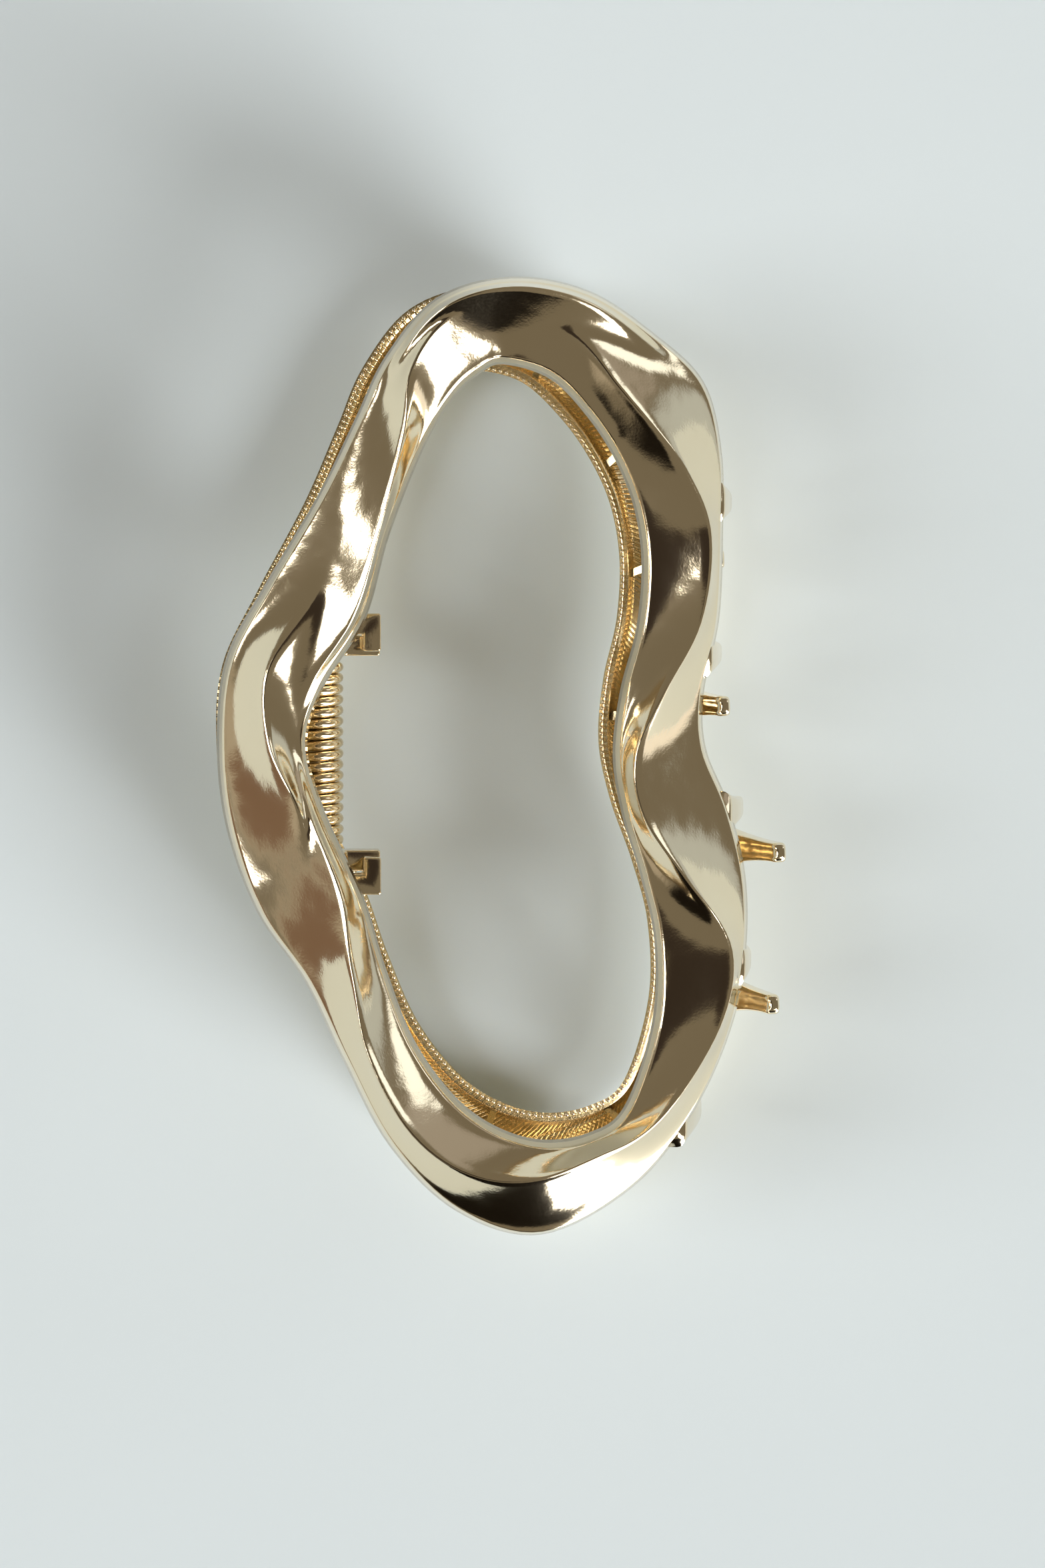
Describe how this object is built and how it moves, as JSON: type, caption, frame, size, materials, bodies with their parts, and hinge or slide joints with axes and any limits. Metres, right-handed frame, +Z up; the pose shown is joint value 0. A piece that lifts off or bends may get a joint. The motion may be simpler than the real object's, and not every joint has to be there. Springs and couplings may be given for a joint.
{
  "type": "claw clip",
  "caption": "Claw hair clip with two wavy open-ring jaws, interlocking teeth and a coil spring on one hinge pin.",
  "frame": {"origin": "centre of the bounding box in plan, at the surface the clip lies on", "axes": "+X from the handle side to the tooth side, +Y along the hinge pin towards the narrower ring end, +Z up from the back jaw to the front jaw, with the clip lying closed on its back jaw"},
  "size_m": [0.054, 0.0902, 0.0348],
  "materials": {
    "gold_plating": "polished champagne gold plating on a zinc casting",
    "gold_wire": "gold plated spring wire, satin",
    "gold_pin": "gold plated pin, polished"
  },
  "bodies": {
    "back": {"back_jaw": "gold_plating", "back_ribs": "gold_plating", "back_teeth": "gold_plating", "back_hinge_lugs": "gold_plating", "back_spring_leg": "gold_wire", "spring_coil": "gold_wire", "hinge_pin": "gold_pin"},
    "front": {"front_jaw": "gold_plating", "front_ribs": "gold_plating", "front_teeth": "gold_plating", "front_hinge_lugs": "gold_plating", "front_spring_leg": "gold_wire"}
  },
  "joints": [
    {"name": "jaw_hinge", "type": "hinge", "parent": "back", "child": "front", "pos_m": [-0.01753, 0, 0.01742], "axis": [0, -1, 0], "range_deg": [0, 45], "stiffness_Nm_per_rad": 0.08, "springref_deg": -34.38}
  ]
}
